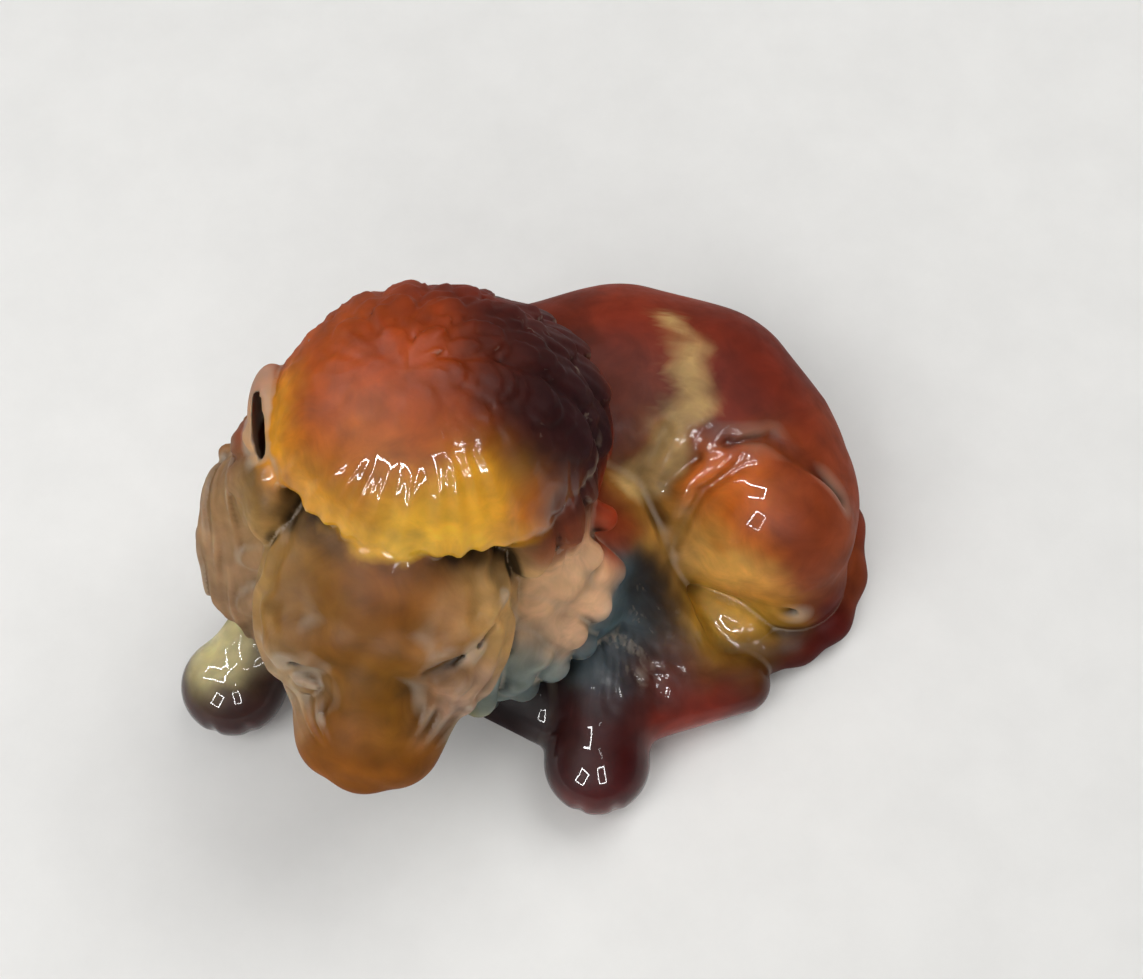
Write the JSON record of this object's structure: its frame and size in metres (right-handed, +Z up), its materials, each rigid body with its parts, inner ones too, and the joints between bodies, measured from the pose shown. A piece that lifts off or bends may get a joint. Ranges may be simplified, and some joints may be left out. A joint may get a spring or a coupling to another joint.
{
  "type": "glass lion figurine",
  "caption": "Solid cast glass ornament in the form of a lion lying curled with its maned head raised.",
  "frame": {"origin": "on the ground, at the middle of the figure's box", "axes": "+Z up; the face looks to -Y; the rump lies to +X and the figure is longest along X"},
  "size_m": [0.1224, 0.0942, 0.078],
  "materials": {
    "glass": "polished amber and deep red cast glass, satin in the carved hollows"
  },
  "bodies": {
    "root": {"lion": "glass"}
  },
  "joints": []
}
